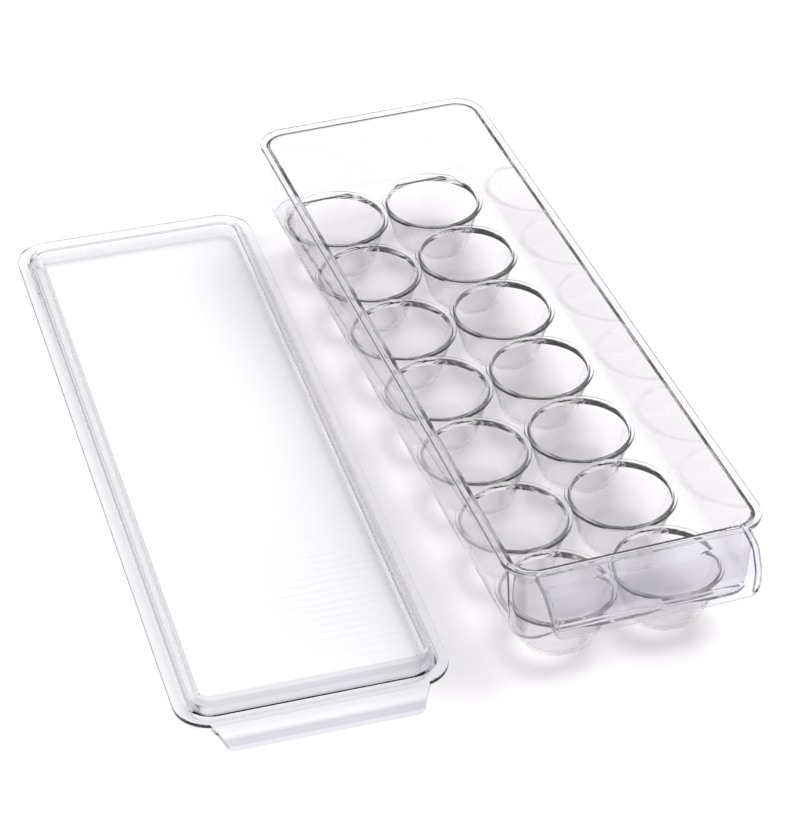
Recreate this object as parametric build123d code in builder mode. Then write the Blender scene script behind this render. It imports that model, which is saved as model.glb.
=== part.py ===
from build123d import *
from math import atan2, degrees, radians, tan
import os

# Egg keeper for fourteen eggs: an injection-moulded clear tray and its lift-off lid.
# All sizes are in millimetres. +Z is up, Y runs along the length and the handle is at -Y.
# The origin is on the surface that the tray stands on, under the middle of the tray.

# ---------------------------------------------------------------- egg cups
cup_rows = 7                 # cups along the length
cup_columns = 2              # cups across the width
cup_pitch = 49.3             # centre to centre, both ways
cup_mouth_radius = 22.3      # inside radius of a cup at floor level
cup_base_radius = 14.4       # inside radius where the lines of side and bottom meet
cup_depth = 26.0             # from the floor's top face to the inside bottom of a cup
cup_bend = 10.0              # inside radius between a cup's side and its bottom
cup_wall = 1.8

# ---------------------------------------------------------------- lip round each cup
lip_width = 2.6
lip_height = 1.2
lip_rounding = 0.5

# ---------------------------------------------------------------- tray walls and floor
side_margin = 1.5            # from the lips to the side walls, at floor level
end_margin = 0.8             # from the lips to the end walls, at floor level
floor_thickness = 2.4
wall_thickness = 2.0
wall_rise = 38.0             # from the floor's top face to the top of the rim
wall_draft = 2.6             # degrees by which each wall leans outwards
floor_corner_radius = 8.0    # in plan, at the inside of the floor
floor_bend = 2.5             # inside radius between the floor and the walls

# ---------------------------------------------------------------- tray rim
rim_overhang = 2.7           # how far the rim stands out from the wall
rim_thickness = 2.4
rim_rounding = 0.7
ledge_depth = 1.0            # the inner part of the rim is this much lower
ledge_width = 2.2

# ---------------------------------------------------------------- handle flap of the tray
flap_half_width = 47.6       # at the rim
flap_taper = 2.8             # how much narrower each side is at the bottom
flap_wall = 2.2
flap_drop = 21.9             # from the top of the rim to the flap's bottom edge
flap_reach = 17.6            # from the rim's front edge to the outside of the bottom edge
flap_edge_bend = 2.5         # where the flap leaves the rim
knee_run = 9.2               # first bend, measured outwards from the rim's front edge
knee_drop = 1.5              # and down from the top of the rim
knee_bend = 8.0
shoulder_run = 16.8          # second bend, measured in the same way
shoulder_drop = 10.4
shoulder_bend = 12.0
flap_corner_radius = 5.5
return_depth = 3.8           # the flap's sides turn back this far behind its outer face
return_wall = 2.2
flap_side_rounding = 1.0

# ---------------------------------------------------------------- lid
lid_side_overhang = 1.8      # how far the lid stands out past the tray's rim
lid_end_overhang = 3.8
lid_thickness = 2.2          # flange and flap
lid_rounding = 0.6
panel_thickness = 2.0
panel_rise = 5.0             # from the flange's top to the top of the raised panel
panel_side_inset = 4.2       # from the lid's edge to the foot of the panel's slope
panel_end_inset = 4.8
panel_slope = 4.6            # how far the slope runs inwards
panel_corner_radius = 13.0   # in plan, at the foot of the slope
panel_rounding = 1.6
plug_depth = 5.8             # rib under the lid that drops inside the tray's mouth
plug_wall = 1.8
plug_clearance = 0.4         # between the rib's foot and the tray's leaning walls
plug_rounding = 0.5

# ---------------------------------------------------------------- flap of the lid
lid_flap_half_width = 46.8   # at the lid's front edge
lid_flap_taper = 5.2         # how much narrower each side is at the tip
lid_flap_run = 10.4          # how far it reaches from the lid's front edge
lid_flap_drop = 4.6          # from the underside of the flange to the underside of the tip
lid_knee_run = 5.4           # where the flap bends, from the lid's front edge
lid_knee_bend = 6.0
lid_flap_gap = 0.4           # over the tray's flap as far as the bend, when the lid is on
lid_flap_corner_radius = 4.0

# ---------------------------------------------------------------- where the lid lies, taken off
lid_x = -125.6
lid_y = 20.2
lid_turn = -2.7              # degrees about the vertical

# ---------------------------------------------------------------- worked-out sizes
floor_top = cup_wall + cup_depth
floor_bottom = floor_top - floor_thickness
rim_top = floor_top + wall_rise
wall_lean = tan(radians(wall_draft))
lip_outer_radius = cup_mouth_radius + lip_width
floor_width = (cup_columns - 1) * cup_pitch + 2 * (lip_outer_radius + side_margin)
floor_length = (cup_rows - 1) * cup_pitch + 2 * (lip_outer_radius + end_margin)
mouth_width = floor_width + 2 * wall_rise * wall_lean
mouth_length = floor_length + 2 * wall_rise * wall_lean
mouth_corner_radius = floor_corner_radius + wall_rise * wall_lean
rim_inset = wall_thickness + rim_overhang
rim_width = mouth_width + 2 * rim_inset
rim_length = mouth_length + 2 * rim_inset
rim_corner_radius = mouth_corner_radius + rim_inset
rim_front = -rim_length / 2
flap_edge = (rim_front, rim_top)
flap_knee = (rim_front - knee_run, rim_top - knee_drop)
flap_shoulder = (rim_front - shoulder_run, rim_top - shoulder_drop)
flap_tip = (rim_front - flap_reach, rim_top - flap_drop)
flap_outward = Vector(0, -1, 1)
flange_top = plug_depth + lid_thickness
lid_width = rim_width + 2 * lid_side_overhang
lid_length = rim_length + 2 * lid_end_overhang
lid_corner_radius = rim_corner_radius + lid_side_overhang
lid_front = -lid_length / 2
lid_knee_drop = (lid_end_overhang + lid_knee_run) * knee_drop / knee_run - lid_flap_gap
panel_width = lid_width - 2 * panel_side_inset
panel_length = lid_length - 2 * panel_end_inset
panel_angle = degrees(atan2(panel_slope, panel_rise))
plug_inset = plug_clearance + plug_depth * wall_lean

cup_places = GridLocations(cup_pitch, cup_pitch, cup_columns, cup_rows)

# The lid lies right side up beside the tray, on the same surface.
lid_plane = Plane(origin=(lid_x, lid_y, 0)).rotated((0, 0, lid_turn))
lid_side_plane = Plane(origin=lid_plane.origin, x_dir=lid_plane.y_dir, z_dir=lid_plane.x_dir)


def outline(width, length, radius, inset=0.0, mode=Mode.ADD):
    """A rectangle with rounded corners, drawn inset from a bigger one."""
    return RectangleRounded(width - 2 * inset, length - 2 * inset, radius - inset, mode=mode)


def cup_section(extra):
    """Half section of a cup's inside, or of its outside when extra is the wall."""
    bottom = floor_top - cup_depth - extra
    return Polyline(
        (0, floor_top),
        (cup_mouth_radius + extra, floor_top),
        (cup_base_radius + extra, bottom),
        (0, bottom),
        close=True,
    )


def bend(line, point, radius):
    """Rounds the corner of a bent line that lies at a point."""
    fillet(line.vertices().sort_by_distance(Vector(*point, 0))[0], radius)


def flap_section(line, thickness):
    """Side view of the handle flap, as thick as told, behind its outer face."""
    Polyline((rim_front + rim_overhang, rim_top), flap_edge, flap_knee, flap_shoulder, flap_tip)
    bend(line, flap_edge, flap_edge_bend)
    bend(line, flap_knee, knee_bend)
    bend(line, flap_shoulder, shoulder_bend)
    offset(amount=thickness, side=Side.LEFT)


def flap_front(inset, extra_drop=0.0):
    """Front view of the handle flap, with its sides drawn in by an inset."""
    top = flap_half_width - inset
    bottom = top - flap_taper * (flap_drop + extra_drop) / flap_drop
    low = rim_top - flap_drop - extra_drop
    Polyline((-top, rim_top), (top, rim_top), (bottom, low), (-bottom, low), close=True)


# ---------------------------------------------------------------- one cup, outside and inside
with BuildPart() as cup_outside:
    with BuildSketch(Plane.XZ) as section:
        with BuildLine():
            cup_section(cup_wall)
        make_face()
        fillet(section.vertices().group_by(Axis.Y)[0].sort_by(Axis.X)[-1], cup_bend + cup_wall)
    revolve(axis=Axis.Z)

with BuildPart() as cup_inside:
    with BuildSketch(Plane.XZ) as section:
        with BuildLine():
            cup_section(0)
        make_face()
        fillet(section.vertices().group_by(Axis.Y)[0].sort_by(Axis.X)[-1], cup_bend)
    revolve(axis=Axis.Z)
    with BuildSketch(Plane.XY.offset(floor_top)):
        Circle(cup_mouth_radius)
    extrude(amount=lip_height)

with BuildPart() as cup_lip:
    with BuildSketch(Plane.XZ) as section:
        with Locations((cup_mouth_radius, floor_top - floor_thickness / 2)):
            Rectangle(
                lip_outer_radius - cup_mouth_radius,
                floor_thickness / 2 + lip_height,
                align=(Align.MIN, Align.MIN),
            )
        fillet(section.vertices().group_by(Axis.Y)[-1], lip_rounding)
    revolve(axis=Axis.Z)

# ---------------------------------------------------------------- space inside the walls
with BuildPart() as hollow:
    with BuildSketch(Plane.XY.offset(floor_top)):
        outline(floor_width, floor_length, floor_corner_radius)
    extrude(amount=wall_rise, taper=-wall_draft)
    fillet(hollow.edges().group_by(Axis.Z)[0], floor_bend)

# ---------------------------------------------------------------- rim, with its outer edges rounded
with BuildPart() as rim:
    with BuildSketch(Plane.XY.offset(rim_top - rim_thickness)):
        outline(rim_width, rim_length, rim_corner_radius)
    extrude(amount=rim_thickness)
    fillet(rim.edges().group_by(Axis.Z)[0] + rim.edges().group_by(Axis.Z)[-1], rim_rounding)

# ---------------------------------------------------------------- sides of the handle flap
with BuildPart() as returns:
    with BuildSketch(Plane.YZ):
        with BuildLine() as outside:
            flap_section(outside, return_depth)
        make_face()
    extrude(amount=flap_half_width, both=True)
    with BuildSketch(Plane.XZ) as front_view:
        with BuildLine():
            flap_front(0)
        make_face()
        fillet(front_view.vertices().group_by(Axis.Y)[0], flap_corner_radius)
        with BuildLine():
            flap_front(return_wall, flap_wall)
        make_face(mode=Mode.SUBTRACT)
    extrude(amount=rim_length, mode=Mode.INTERSECT)

# ---------------------------------------------------------------- handle flap of the tray
with BuildPart() as flap:
    with BuildSketch(Plane.YZ):
        with BuildLine() as outside:
            flap_section(outside, flap_wall)
        make_face()
    extrude(amount=flap_half_width, both=True)
    with BuildSketch(Plane.XZ) as front_view:
        with BuildLine():
            flap_front(0)
        make_face()
        fillet(front_view.vertices().group_by(Axis.Y)[0], flap_corner_radius)
    extrude(amount=rim_length, mode=Mode.INTERSECT)
    add(returns.part)
    skin = flap.faces().filter_by(lambda face: face.normal_at().dot(flap_outward) > 0.5)
    ends = flap.faces().sort_by(Axis.X)[:1] + flap.faces().sort_by(Axis.X)[-1:]
    fillet([edge for edge in ends.edges() if edge in skin.edges()], flap_side_rounding)

# ---------------------------------------------------------------- tray, one moulding
with BuildPart() as tray:
    with BuildSketch(Plane.XY.offset(floor_bottom)):
        outline(
            floor_width, floor_length, floor_corner_radius,
            inset=floor_thickness * wall_lean - wall_thickness,
        )
    extrude(amount=floor_thickness + wall_rise, taper=-wall_draft)
    fillet(tray.edges().group_by(Axis.Z)[0], floor_bend + wall_thickness)
    with cup_places:
        add(cup_outside.part)
    add(rim.part)
    add(hollow.part, mode=Mode.SUBTRACT)
    add(flap.part)
    with BuildSketch(Plane.XY.offset(rim_top)):
        outline(mouth_width, mouth_length, mouth_corner_radius, inset=-ledge_width)
    extrude(amount=-ledge_depth, mode=Mode.SUBTRACT)
    with cup_places:
        add(cup_lip.part)
    with cup_places:
        add(cup_inside.part, mode=Mode.SUBTRACT)

# ---------------------------------------------------------------- flap of the lid
with BuildPart() as lid_flap:
    with BuildSketch(lid_side_plane):
        with BuildLine() as underside:
            knee = (lid_front - lid_knee_run, plug_depth - lid_knee_drop)
            Polyline(
                (lid_front + panel_end_inset, plug_depth),
                (lid_front, plug_depth),
                knee,
                (lid_front - lid_flap_run, plug_depth - lid_flap_drop),
            )
            bend(underside, knee, lid_knee_bend)
            offset(amount=lid_thickness, side=Side.RIGHT)
        make_face()
    extrude(amount=lid_flap_half_width, both=True)
    with BuildSketch(lid_plane) as top_view:
        with BuildLine():
            Polyline(
                (-lid_flap_half_width, lid_front + panel_end_inset),
                (-lid_flap_half_width, lid_front),
                (lid_flap_taper - lid_flap_half_width, lid_front - lid_flap_run),
                (lid_flap_half_width - lid_flap_taper, lid_front - lid_flap_run),
                (lid_flap_half_width, lid_front),
                (lid_flap_half_width, lid_front + panel_end_inset),
                close=True,
            )
        make_face()
        fillet(top_view.vertices().group_by(Axis.Y)[0], lid_flap_corner_radius)
    extrude(amount=flange_top, mode=Mode.INTERSECT)

# ---------------------------------------------------------------- lid, one moulding
with BuildPart() as lid:
    with BuildSketch(lid_plane.offset(plug_depth)):
        outline(lid_width, lid_length, lid_corner_radius)
    extrude(amount=lid_thickness)
    fillet(lid.edges().group_by(Axis.Z)[0] + lid.edges().group_by(Axis.Z)[-1], lid_rounding)
    with BuildSketch(lid_plane.offset(flange_top)):
        outline(panel_width, panel_length, panel_corner_radius)
    extrude(amount=panel_rise, taper=panel_angle)
    fillet(lid.edges().group_by(Axis.Z)[-1], panel_rounding)
    with BuildSketch(lid_plane):
        outline(mouth_width, mouth_length, mouth_corner_radius, inset=plug_inset)
    extrude(amount=plug_depth)
    fillet(lid.edges().group_by(Axis.Z)[0], plug_rounding)
    add(lid_flap.part)
    with BuildSketch(lid_plane):
        outline(mouth_width, mouth_length, mouth_corner_radius, inset=plug_inset + plug_wall)
    extrude(amount=flange_top, mode=Mode.SUBTRACT)
    with BuildSketch(lid_plane.offset(flange_top)):
        outline(mouth_width, mouth_length, mouth_corner_radius, inset=plug_inset + plug_wall)
    extrude(amount=panel_rise - panel_thickness, taper=panel_angle, mode=Mode.SUBTRACT)

# ---------------------------------------------------------------- files
tray.part.label = "tray"
lid.part.label = "lid"

os.makedirs("parts", exist_ok=True)
export_step(tray.part, "parts/tray.step")
export_step(lid.part, "parts/lid.step")
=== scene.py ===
from math import radians

import bpy
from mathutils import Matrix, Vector

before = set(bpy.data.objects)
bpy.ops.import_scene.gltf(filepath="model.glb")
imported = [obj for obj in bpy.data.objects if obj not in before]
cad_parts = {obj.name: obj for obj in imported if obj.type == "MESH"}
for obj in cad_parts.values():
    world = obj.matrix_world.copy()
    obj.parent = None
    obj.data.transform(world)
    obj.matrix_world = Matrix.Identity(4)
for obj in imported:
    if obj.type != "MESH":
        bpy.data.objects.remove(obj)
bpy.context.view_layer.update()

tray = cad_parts["tray"]
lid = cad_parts["lid"]


def shaderNode(tree, kind, place, **settings):
    node = tree.nodes.new(kind)
    node.location = place
    for name, value in settings.items():
        setattr(node, name, value)
    return node


def softStep(tree, place, start, end, low=0.0, high=1.0):
    step = shaderNode(tree, "ShaderNodeMapRange", place, interpolation_type="SMOOTHSTEP")
    step.inputs["From Min"].default_value = start
    step.inputs["From Max"].default_value = end
    step.inputs["To Min"].default_value = low
    step.inputs["To Max"].default_value = high
    return step


def colorMix(tree, place, **settings):
    return shaderNode(tree, "ShaderNodeMix", place, data_type="RGBA", **settings)


# camera
view = {
    "place": (-0.41553, -1.07714, 0.87918),
    "down": 37.087,              # degrees below level
    "turn": -19.057,             # degrees about the vertical
    "lens": 140.72,
    "sensor": 36.0,
    "nearest": 0.05,
    "farthest": 30,
}


def addCamera():
    data = bpy.data.cameras.new("productCamera")
    data.sensor_fit = "HORIZONTAL"
    data.sensor_width = view["sensor"]
    data.lens = view["lens"]
    data.clip_start = view["nearest"]
    data.clip_end = view["farthest"]
    camera = bpy.data.objects.new("productCamera", data)
    camera.location = view["place"]
    camera.rotation_euler = (radians(90 - view["down"]), 0, radians(view["turn"]))
    bpy.context.scene.collection.objects.link(camera)
    bpy.context.scene.camera = camera


addCamera()
print("camera set")

# studio
studio = {
    "floorSize": 6.0,
    "floorDrop": 0.0002,         # keeps the floor clear of the cup bottoms
    "floorColor": (0.80, 0.785, 0.80, 1),
    "floorLift": (0.42, 1.0),    # takes the lit floor up to white where it is seen, near and far
    "liftFrom": 0.5,             # metres from the middle
    "liftTo": 1.4,
    "fillColor": (0.80, 0.79, 0.82, 1),
    "fillStrength": 0.40,        # even light from all round
    "roomLow": (0.05, 0.05, 0.056, 1),   # what shiny and clear surfaces show near the horizon
    "roomHigh": (1.0, 1.0, 1.0, 1),      # and overhead
    "roomWay": (0.30, 0.15, 0.94),       # towards the brightest part of the room
    "roomFrom": 0.25,            # how far towards it the dark part starts to fade
    "roomTo": 0.90,
    "afterFloor": 0.60,          # how much of the room lights the floor through clear plastic
}

lamps = {
    "softboxRight": {
        "place": (0.85, 0.02, 2.1), "aim": (0, 0, 0), "size": 1.5, "power": 40},
    "softboxLeft": {
        "place": (-1.6, -0.2, 1.5), "aim": (-0.05, 0, 0), "size": 1.0, "power": 3},
}


def seenRays(tree):
    path = shaderNode(tree, "ShaderNodeLightPath", (-1100, 400))
    shiny = shaderNode(tree, "ShaderNodeMath", (-900, 500), operation="MAXIMUM")
    seen = shaderNode(tree, "ShaderNodeMath", (-700, 500), operation="MAXIMUM")
    early = shaderNode(tree, "ShaderNodeMath", (-700, 300), operation="LESS_THAN")
    early.inputs[1].default_value = 0.5       # before any bounce off the matt floor
    tree.links.new(path.outputs["Is Glossy Ray"], shiny.inputs[0])
    tree.links.new(path.outputs["Is Transmission Ray"], shiny.inputs[1])
    tree.links.new(path.outputs["Is Camera Ray"], seen.inputs[0])
    tree.links.new(shiny.outputs[0], seen.inputs[1])
    tree.links.new(path.outputs["Diffuse Depth"], early.inputs[0])
    return seen.outputs[0], early.outputs[0]


def roomColor(tree):
    way = shaderNode(tree, "ShaderNodeTexCoord", (-900, 0))
    towards = shaderNode(tree, "ShaderNodeVectorMath", (-700, 0), operation="DOT_PRODUCT")
    ramp = softStep(tree, (-500, 0), studio["roomFrom"], studio["roomTo"])
    blend = colorMix(tree, (-300, 0))
    towards.inputs[1].default_value = studio["roomWay"]
    blend.inputs[6].default_value = studio["roomLow"]
    blend.inputs[7].default_value = studio["roomHigh"]
    tree.links.new(way.outputs["Generated"], towards.inputs[0])
    tree.links.new(towards.outputs["Value"], ramp.inputs["Value"])
    tree.links.new(ramp.outputs[0], blend.inputs[0])
    return blend.outputs[2]


def addWorld():
    world = bpy.data.worlds.new("studioWorld")
    bpy.context.scene.world = world
    world.use_nodes = True
    tree = world.node_tree
    tree.nodes.clear()
    out = shaderNode(tree, "ShaderNodeOutputWorld", (500, 0))
    fill = shaderNode(tree, "ShaderNodeBackground", (-100, 200))
    room = shaderNode(tree, "ShaderNodeBackground", (-100, 0))
    white = shaderNode(tree, "ShaderNodeBackground", (-100, -200))
    shown = shaderNode(tree, "ShaderNodeMixShader", (100, 100))
    mix = shaderNode(tree, "ShaderNodeMixShader", (300, 0))
    fill.inputs["Color"].default_value = studio["fillColor"]
    fill.inputs["Strength"].default_value = studio["fillStrength"]
    white.inputs["Color"].default_value = (1, 1, 1, 1)
    seen, early = seenRays(tree)
    after = shaderNode(tree, "ShaderNodeMath", (-300, -200), operation="MULTIPLY_ADD")
    after.inputs[1].default_value = 1 - studio["afterFloor"]
    after.inputs[2].default_value = studio["afterFloor"]
    path = shaderNode(tree, "ShaderNodeLightPath", (-100, 500))
    tree.links.new(early, after.inputs[0])
    tree.links.new(roomColor(tree), room.inputs["Color"])
    tree.links.new(after.outputs[0], room.inputs["Strength"])
    tree.links.new(seen, shown.inputs["Fac"])
    tree.links.new(fill.outputs[0], shown.inputs[1])
    tree.links.new(room.outputs[0], shown.inputs[2])
    tree.links.new(path.outputs["Is Camera Ray"], mix.inputs["Fac"])
    tree.links.new(shown.outputs[0], mix.inputs[1])
    tree.links.new(white.outputs[0], mix.inputs[2])
    tree.links.new(mix.outputs[0], out.inputs["Surface"])


def addFloor():
    bpy.ops.object.select_all(action="DESELECT")
    bpy.ops.mesh.primitive_plane_add(
        size=studio["floorSize"], location=(0, 0, -studio["floorDrop"]))
    floor = bpy.context.object
    floor.name = "floor"
    bpy.ops.object.transform_apply(location=True)
    material = bpy.data.materials.new("paleFloor")
    material.use_nodes = True
    tree = material.node_tree
    tree.nodes.clear()
    out = shaderNode(tree, "ShaderNodeOutputMaterial", (600, 0))
    add = shaderNode(tree, "ShaderNodeAddShader", (400, 0))
    matt = shaderNode(tree, "ShaderNodeBsdfDiffuse", (100, 100))
    glow = shaderNode(tree, "ShaderNodeEmission", (100, -100))
    strength = shaderNode(tree, "ShaderNodeMath", (-100, -100), operation="MULTIPLY")
    matt.inputs["Color"].default_value = studio["floorColor"]
    place = shaderNode(tree, "ShaderNodeTexCoord", (-700, -300))
    away = shaderNode(tree, "ShaderNodeVectorMath", (-500, -300), operation="LENGTH")
    lift = softStep(
        tree, (-300, -300), studio["liftFrom"], studio["liftTo"], *studio["floorLift"])
    tree.links.new(place.outputs["Object"], away.inputs[0])
    tree.links.new(away.outputs["Value"], lift.inputs["Value"])
    tree.links.new(lift.outputs[0], strength.inputs[1])
    tree.links.new(seenRays(tree)[1], strength.inputs[0])
    tree.links.new(strength.outputs[0], glow.inputs["Strength"])
    tree.links.new(matt.outputs[0], add.inputs[0])
    tree.links.new(glow.outputs[0], add.inputs[1])
    tree.links.new(add.outputs[0], out.inputs["Surface"])
    floor.data.materials.append(material)


def addLamp(name):
    plan = lamps[name]
    data = bpy.data.lights.new(name, "AREA")
    data.size = plan["size"]
    data.energy = plan["power"]
    lamp = bpy.data.objects.new(name, data)
    lamp.location = plan["place"]
    way = Vector(plan["aim"]) - Vector(plan["place"])
    lamp.rotation_euler = way.to_track_quat("-Z", "Y").to_euler()
    lamp.visible_transmission = False       # its light passes clear plastic as shadow rays alone
    lamp.visible_glossy = False
    bpy.context.scene.collection.objects.link(lamp)


addWorld()
addFloor()
for name in lamps:
    addLamp(name)
print("studio lit")

# effects that both mouldings use
def groupSockets(group, inputs, outputs):
    for name, kind, value in inputs:
        socket = group.interface.new_socket(name=name, in_out="INPUT", socket_type=kind)
        if value is not None:
            socket.default_value = value
    for name, kind in outputs:
        group.interface.new_socket(name=name, in_out="OUTPUT", socket_type=kind)


flow = {
    "detail": 3,
    "detailScale": 1.6,
    "cloudDetail": 2,
    "cloudFrom": 0.40,           # how much of the surface the clouds cover
    "cloudTo": 0.62,
}

handling = {
    "hazeScale": 45,
    "hazeDetail": 5,
    "hairStretch": (900, 40, 40),
    "hairTurn": 24,              # degrees
    "hairDetail": 3,
    "hairFrom": 0.60,
    "hairTo": 0.72,
    "least": 0.3,                # haze and hairs together, at the smoothest
    "most": 1.4,
}

# which faces get painted shade, by the way their normal points
slopes = {
    "slopeFrom": 0.97,           # upward part of the normal where a slope starts
    "slopeTo": 0.80,
    "wallFrom": 0.60,
    "wallTo": 0.30,
    "endFrom": 0.10,             # part of the normal along the piece
    "endTo": 0.35,
    "sideShare": 0.25,           # the long sides get less painted shade than the ends
    "edgeFrom": 0.45,            # part of the normal across the piece
    "edgeTo": 0.75,
}


def flowMarks():
    group = bpy.data.node_groups.new("flowMarks", "ShaderNodeTree")
    groupSockets(group, [
        ("Vector", "NodeSocketVector", None),
        ("Spacing", "NodeSocketFloat", 4.0),
        ("Wander", "NodeSocketFloat", 2.0),
        ("Patch", "NodeSocketFloat", 20.0),
        ("Centre", "NodeSocketVector", None),
        ("Reach", "NodeSocketFloat", 0.2),
        ("Least", "NodeSocketFloat", 0.0),
    ], [("Ripple", "NodeSocketFloat"), ("Cloud", "NodeSocketFloat")])
    into = shaderNode(group, "NodeGroupInput", (-900, 0))
    out = shaderNode(group, "NodeGroupOutput", (600, 0))
    wave = shaderNode(
        group, "ShaderNodeTexWave", (-300, 200), wave_type="BANDS", bands_direction="Y")
    wave.inputs["Detail"].default_value = flow["detail"]
    wave.inputs["Detail Scale"].default_value = flow["detailScale"]
    cloud = shaderNode(group, "ShaderNodeTexNoise", (-300, -200))
    cloud.inputs["Detail"].default_value = flow["cloudDetail"]
    patch = softStep(group, (-100, -200), flow["cloudFrom"], flow["cloudTo"])
    away = shaderNode(group, "ShaderNodeVectorMath", (-500, -450), operation="DISTANCE")
    near = softStep(group, (-300, -450), 0, 1, low=1, high=0)
    some = shaderNode(group, "ShaderNodeMath", (100, -350), operation="MAXIMUM")
    there = shaderNode(group, "ShaderNodeMath", (100, -200), operation="MULTIPLY")
    part = shaderNode(group, "ShaderNodeMath", (300, 100), operation="MULTIPLY")
    group.links.new(into.outputs["Vector"], wave.inputs["Vector"])
    group.links.new(into.outputs["Spacing"], wave.inputs["Scale"])
    group.links.new(into.outputs["Wander"], wave.inputs["Distortion"])
    group.links.new(into.outputs["Vector"], cloud.inputs["Vector"])
    group.links.new(into.outputs["Patch"], cloud.inputs["Scale"])
    group.links.new(cloud.outputs["Fac"], patch.inputs["Value"])
    group.links.new(into.outputs["Vector"], away.inputs[0])
    group.links.new(into.outputs["Centre"], away.inputs[1])
    group.links.new(away.outputs["Value"], near.inputs["Value"])
    group.links.new(into.outputs["Reach"], near.inputs["From Max"])
    group.links.new(patch.outputs[0], some.inputs[0])
    group.links.new(into.outputs["Least"], some.inputs[1])
    group.links.new(some.outputs[0], there.inputs[0])
    group.links.new(near.outputs[0], there.inputs[1])
    group.links.new(wave.outputs["Fac"], part.inputs[0])
    group.links.new(there.outputs[0], part.inputs[1])
    group.links.new(part.outputs[0], out.inputs["Ripple"])
    group.links.new(patch.outputs[0], out.inputs["Cloud"])
    return group


def handlingMarks():
    group = bpy.data.node_groups.new("handlingMarks", "ShaderNodeTree")
    groupSockets(group, [
        ("Vector", "NodeSocketVector", None),
        ("Low", "NodeSocketFloat", 0.01),
        ("High", "NodeSocketFloat", 0.05),
    ], [("Roughness", "NodeSocketFloat")])
    into = shaderNode(group, "NodeGroupInput", (-900, 0))
    out = shaderNode(group, "NodeGroupOutput", (600, 0))
    haze = shaderNode(group, "ShaderNodeTexNoise", (-500, 200))
    haze.inputs["Scale"].default_value = handling["hazeScale"]
    haze.inputs["Detail"].default_value = handling["hazeDetail"]
    stretch = shaderNode(group, "ShaderNodeMapping", (-700, -200))
    stretch.inputs["Scale"].default_value = handling["hairStretch"]
    stretch.inputs["Rotation"].default_value = (0, 0, radians(handling["hairTurn"]))
    hair = shaderNode(group, "ShaderNodeTexNoise", (-500, -200))
    hair.inputs["Scale"].default_value = 1
    hair.inputs["Detail"].default_value = handling["hairDetail"]
    fine = softStep(group, (-250, -200), handling["hairFrom"], handling["hairTo"])
    both = shaderNode(group, "ShaderNodeMath", (0, 0), operation="ADD")
    scale = shaderNode(group, "ShaderNodeMapRange", (250, 0))
    scale.inputs["From Min"].default_value = handling["least"]
    scale.inputs["From Max"].default_value = handling["most"]
    group.links.new(into.outputs["Vector"], haze.inputs["Vector"])
    group.links.new(into.outputs["Vector"], stretch.inputs["Vector"])
    group.links.new(stretch.outputs[0], hair.inputs["Vector"])
    group.links.new(hair.outputs["Fac"], fine.inputs["Value"])
    group.links.new(haze.outputs["Fac"], both.inputs[0])
    group.links.new(fine.outputs[0], both.inputs[1])
    group.links.new(both.outputs[0], scale.inputs["Value"])
    group.links.new(into.outputs["Low"], scale.inputs["To Min"])
    group.links.new(into.outputs["High"], scale.inputs["To Max"])
    group.links.new(scale.outputs[0], out.inputs["Roughness"])
    return group


# paints shade on slopes and upright faces by the way they face, more at the ends than on the
# long sides
def paintedSlopeShade():
    group = bpy.data.node_groups.new("paintedSlopeShade", "ShaderNodeTree")
    groupSockets(group, [
        ("Color", "NodeSocketColor", (1, 1, 1, 1)),
        ("Slope Shade", "NodeSocketColor", (0.85, 0.85, 0.87, 1)),
        ("Wall Shade", "NodeSocketColor", (0.93, 0.93, 0.94, 1)),
    ], [("Color", "NodeSocketColor")])
    into = shaderNode(group, "NodeGroupInput", (-900, 0))
    out = shaderNode(group, "NodeGroupOutput", (600, 0))
    place = shaderNode(group, "ShaderNodeTexCoord", (-900, -300))
    split = shaderNode(group, "ShaderNodeSeparateXYZ", (-700, -300))
    level = shaderNode(group, "ShaderNodeMath", (-500, -300), operation="ABSOLUTE")
    ends = shaderNode(group, "ShaderNodeMath", (-500, 0), operation="ABSOLUTE")
    slope = softStep(group, (-300, -200), slopes["slopeFrom"], slopes["slopeTo"])
    wall = softStep(group, (-300, -450), slopes["wallFrom"], slopes["wallTo"])
    along = softStep(
        group, (-300, 50), slopes["endFrom"], slopes["endTo"], low=slopes["sideShare"])
    ahead = shaderNode(group, "ShaderNodeMath", (-100, -50), operation="MULTIPLY")
    first = colorMix(group, (0, 0), blend_type="MULTIPLY")
    second = colorMix(group, (300, 0))
    group.links.new(place.outputs["Normal"], split.inputs[0])
    group.links.new(split.outputs["Z"], level.inputs[0])
    group.links.new(level.outputs[0], slope.inputs["Value"])
    group.links.new(level.outputs[0], wall.inputs["Value"])
    group.links.new(split.outputs["Y"], ends.inputs[0])
    group.links.new(ends.outputs[0], along.inputs["Value"])
    group.links.new(slope.outputs[0], ahead.inputs[0])
    group.links.new(along.outputs[0], ahead.inputs[1])
    group.links.new(ahead.outputs[0], first.inputs[0])
    group.links.new(into.outputs["Color"], first.inputs[6])
    group.links.new(into.outputs["Slope Shade"], first.inputs[7])
    group.links.new(wall.outputs[0], second.inputs[0])
    group.links.new(first.outputs[2], second.inputs[6])
    group.links.new(into.outputs["Wall Shade"], second.inputs[7])
    group.links.new(second.outputs[2], out.inputs["Color"])
    return group


flowGroup = flowMarks()
slopeShadeGroup = paintedSlopeShade()
wearGroup = handlingMarks()


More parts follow.
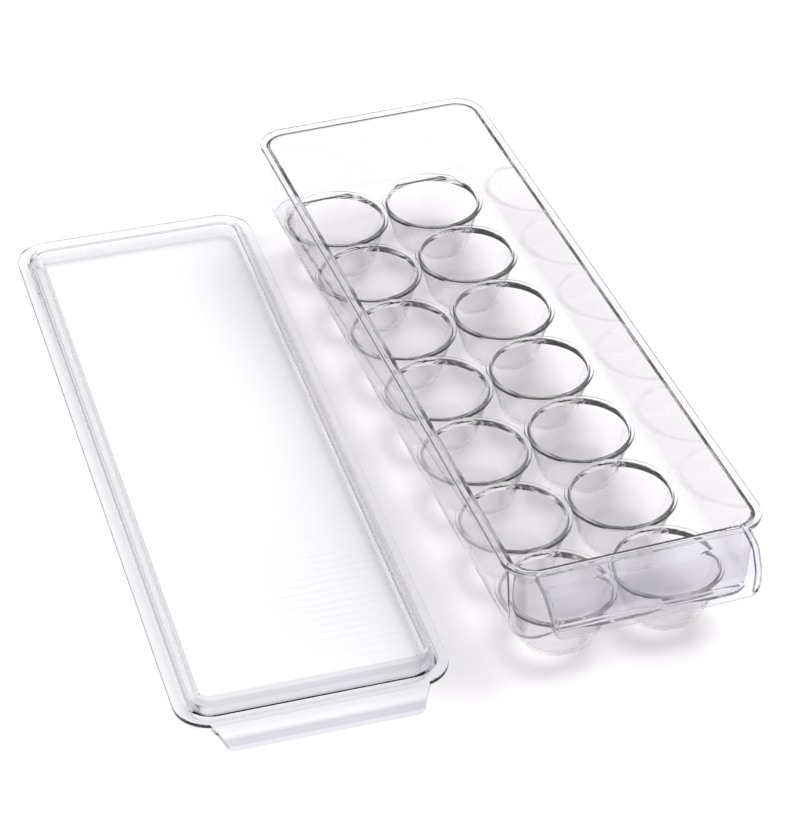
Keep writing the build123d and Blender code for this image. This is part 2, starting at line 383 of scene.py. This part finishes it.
def shadeColor(tree, plan, flap):
    slant = shaderNode(tree, "ShaderNodeLayerWeight", (-500, -500))
    shut = softStep(tree, (-300, -500), plan["shadeFrom"], plan["shadeTo"])
    let = colorMix(tree, (-100, -500))
    pale = colorMix(tree, (50, -650))
    slant.inputs["Blend"].default_value = 0.5
    let.inputs[6].default_value = plan["shadeFlat"]
    let.inputs[7].default_value = plan["shadeSteep"]
    pale.inputs[7].default_value = plan["flapShade"]
    tree.links.new(slant.outputs["Facing"], shut.inputs["Value"])
    tree.links.new(shut.outputs[0], let.inputs[0])
    tree.links.new(flap, pale.inputs[0])
    tree.links.new(let.outputs[2], pale.inputs[6])
    return pale.outputs[2]


def bodyColor(tree, plan, place, flap, marks):
    tint = colorMix(tree, (-300, 300))
    cast = colorMix(tree, (-100, 300))
    steep = shaderNode(tree, "ShaderNodeGroup", (50, 400), node_tree=slopeShadeGroup)
    # painted dark strokes on the flap's sides, where the normal points across the piece
    facing = shaderNode(tree, "ShaderNodeSeparateXYZ", (-900, 600))
    across = shaderNode(tree, "ShaderNodeMath", (-700, 600), operation="ABSOLUTE")
    side = softStep(tree, (-500, 600), slopes["edgeFrom"], slopes["edgeTo"])
    both = shaderNode(tree, "ShaderNodeMath", (-300, 600), operation="MULTIPLY")
    edge = colorMix(tree, (-50, 600), blend_type="MULTIPLY")
    # painted cool shade over the whole flap
    tone = colorMix(tree, (0, 400), blend_type="MULTIPLY")
    tint.inputs[6].default_value = plan["color"]
    tint.inputs[7].default_value = plan["cloudColor"]
    # the flow ripples are real; their darker tone is painted reflection and shade
    cast.inputs[7].default_value = plan["rippleShadeColor"]
    # painted shade on slopes and upright faces
    steep.inputs["Slope Shade"].default_value = plan["slopeShadeColor"]
    steep.inputs["Wall Shade"].default_value = plan["wallShadeColor"]
    edge.inputs[7].default_value = plan["flapEdgePaintedShade"]
    tone.inputs[7].default_value = plan["flapPaintedShade"]
    tree.links.new(marks.outputs["Cloud"], tint.inputs[0])
    tree.links.new(tint.outputs[2], cast.inputs[6])
    tree.links.new(marks.outputs["Ripple"], cast.inputs[0])
    tree.links.new(cast.outputs[2], steep.inputs["Color"])
    tree.links.new(place.outputs["Normal"], facing.inputs[0])
    tree.links.new(facing.outputs["X"], across.inputs[0])
    tree.links.new(across.outputs[0], side.inputs["Value"])
    tree.links.new(side.outputs[0], both.inputs[0])
    tree.links.new(flap, both.inputs[1])
    tree.links.new(both.outputs[0], edge.inputs[0])
    tree.links.new(steep.outputs["Color"], edge.inputs[6])
    tree.links.new(flap, tone.inputs[0])
    tree.links.new(edge.outputs[2], tone.inputs[6])
    return tone.outputs[2]


def clearPlastic(name, plan):
    material = bpy.data.materials.new(name)
    material.use_nodes = True
    tree = material.node_tree
    tree.nodes.clear()
    out = shaderNode(tree, "ShaderNodeOutputMaterial", (700, 0))
    mix = shaderNode(tree, "ShaderNodeMixShader", (500, 0))
    plastic = shaderNode(tree, "ShaderNodeBsdfPrincipled", (150, 200))
    shade = shaderNode(tree, "ShaderNodeBsdfTransparent", (150, -500))
    path = shaderNode(tree, "ShaderNodeLightPath", (150, 600))
    place = shaderNode(tree, "ShaderNodeTexCoord", (-1100, 0))
    turn = shaderNode(tree, "ShaderNodeMapping", (-900, 0), vector_type="TEXTURE")
    where = shaderNode(tree, "ShaderNodeSeparateXYZ", (-500, -750))
    flap = softStep(tree, (-300, -750), plan["flapFrom"], plan["flapTo"])
    marks = shaderNode(tree, "ShaderNodeGroup", (-650, 200), node_tree=flowGroup)
    wear = shaderNode(tree, "ShaderNodeGroup", (-650, -100), node_tree=wearGroup)
    bump = shaderNode(tree, "ShaderNodeBump", (-100, -100))
    turn.inputs["Rotation"].default_value = (0, 0, radians(plan["turn"]))
    turn.inputs["Location"].default_value = plan["middle"]
    marks.inputs["Spacing"].default_value = plan["rippleSpacing"]
    marks.inputs["Wander"].default_value = plan["rippleWander"]
    marks.inputs["Patch"].default_value = plan["patchSize"]
    marks.inputs["Centre"].default_value = plan["rippleCentre"]
    marks.inputs["Reach"].default_value = plan["rippleReach"]
    marks.inputs["Least"].default_value = plan["rippleLeast"]
    wear.inputs["Low"].default_value = plan["roughness"][0]
    wear.inputs["High"].default_value = plan["roughness"][1]
    bump.inputs["Strength"].default_value = plan["bump"]
    bump.inputs["Distance"].default_value = plan["rippleHeight"]
    plastic.inputs["Transmission Weight"].default_value = plan["clear"]
    plastic.inputs["IOR"].default_value = plan["ior"]
    tree.links.new(place.outputs["Object"], turn.inputs["Vector"])
    tree.links.new(turn.outputs[0], where.inputs[0])
    tree.links.new(where.outputs["Y"], flap.inputs["Value"])
    tree.links.new(turn.outputs[0], marks.inputs["Vector"])
    tree.links.new(turn.outputs[0], wear.inputs["Vector"])
    tree.links.new(marks.outputs["Ripple"], bump.inputs["Height"])
    body = bodyColor(tree, plan, place, flap.outputs[0], marks)
    tree.links.new(body, plastic.inputs["Base Color"])
    tree.links.new(wear.outputs["Roughness"], plastic.inputs["Roughness"])
    tree.links.new(bump.outputs[0], plastic.inputs["Normal"])
    tree.links.new(shadeColor(tree, plan, flap.outputs[0]), shade.inputs["Color"])
    tree.links.new(path.outputs["Is Shadow Ray"], mix.inputs["Fac"])
    tree.links.new(plastic.outputs[0], mix.inputs[1])
    tree.links.new(shade.outputs[0], mix.inputs[2])
    tree.links.new(mix.outputs[0], out.inputs["Surface"])
    return material


def dress(piece, material):
    piece.data.materials.clear()
    piece.data.materials.append(material)


# tray
trayPlastic = {
    "color": (0.975, 0.975, 0.982, 1),
    "cloudColor": (0.955, 0.952, 0.965, 1),  # where the melt ran thicker
    # painted reflection and shade along the real flow ripples
    "rippleShadeColor": (0.93, 0.93, 0.945, 1),
    "slopeShadeColor": (0.93, 0.925, 0.935, 1),   # painted shade on rounded edges and slopes
    "wallShadeColor": (0.925, 0.915, 0.925, 1),   # painted shade on upright faces
    "turn": 0,                   # degrees, as the piece lies
    "middle": (0, 0, 0),
    "rippleSpacing": 26,
    "rippleWander": 3.0,
    "rippleHeight": 0.0004,
    "rippleCentre": (0, 0, 0.03),
    "rippleReach": 0.4,          # metres from the centre
    "rippleLeast": 0.0,          # how strong the ripples are between the clouds
    "patchSize": 9,
    "roughness": (0.008, 0.035),
    "bump": 0.04,
    "ior": 1.44,
    "clear": 0.975,              # the rest is a faint milkiness
    "shadeFlat": (0.87, 0.85, 0.87, 1),      # what a face lets through of light from ahead
    "shadeSteep": (0.12, 0.10, 0.13, 1),     # and of light that grazes it
    "shadeFrom": 0.08,
    "shadeTo": 0.65,
    "flapFrom": -0.166,          # along the piece, where the pull flap starts
    "flapTo": -0.180,
    "flapPaintedShade": (0.943, 0.947, 0.962, 1),    # painted cool shade over the flap
    "flapEdgePaintedShade": (0.36, 0.37, 0.41, 1),       # painted dark shade on the sides of the flap
    "flapShade": (0.97, 0.97, 0.97, 1),      # it casts hardly any shade
}
dress(tray, clearPlastic("clearTray", trayPlastic))
print("tray dressed")

# lid
lidPlastic = {
    "color": (0.985, 0.987, 0.992, 1),
    "cloudColor": (0.965, 0.970, 0.985, 1),
    # painted reflection and shade along the real flow ripples
    "rippleShadeColor": (0.86, 0.86, 0.885, 1),
    # painted shade on the lid's slope bands and upright faces
    "slopeShadeColor": (0.71, 0.71, 0.735, 1),
    "wallShadeColor": (0.93, 0.93, 0.94, 1),
    "turn": -2.7,
    "middle": (-0.1256, 0.0202, 0),
    "rippleSpacing": 70,
    "rippleWander": 2.0,
    "rippleHeight": 0.0004,
    "rippleCentre": (0.03, -0.13, 0.012),
    "rippleReach": 0.13,
    "rippleLeast": 0.8,
    "patchSize": 7,
    "roughness": (0.010, 0.012),
    "bump": 0.04,
    "ior": 1.39,
    "clear": 1.0,
    "shadeFlat": (0.985, 0.985, 0.985, 1),
    "shadeSteep": (0.45, 0.45, 0.48, 1),
    "shadeFrom": 0.08,
    "shadeTo": 0.65,
    "flapFrom": -0.176,
    "flapTo": -0.190,
    # painted cool shade over the flap
    "flapPaintedShade": (0.97, 0.975, 0.985, 1),
    # painted dark shade on the sides of the flap
    "flapEdgePaintedShade": (0.50, 0.51, 0.55, 1),
    "flapShade": (0.95, 0.95, 0.96, 1),
}
dress(lid, clearPlastic("clearLid", lidPlastic))
print("lid dressed")

# how it is shown
bpy.context.scene.view_settings.view_transform = "Standard"
bounces = {"max_bounces": 32, "transmission_bounces": 32, "glossy_bounces": 10}
for kind, count in bounces.items():
    setattr(bpy.context.scene.cycles, kind, count)  # light runs a long way inside clear walls
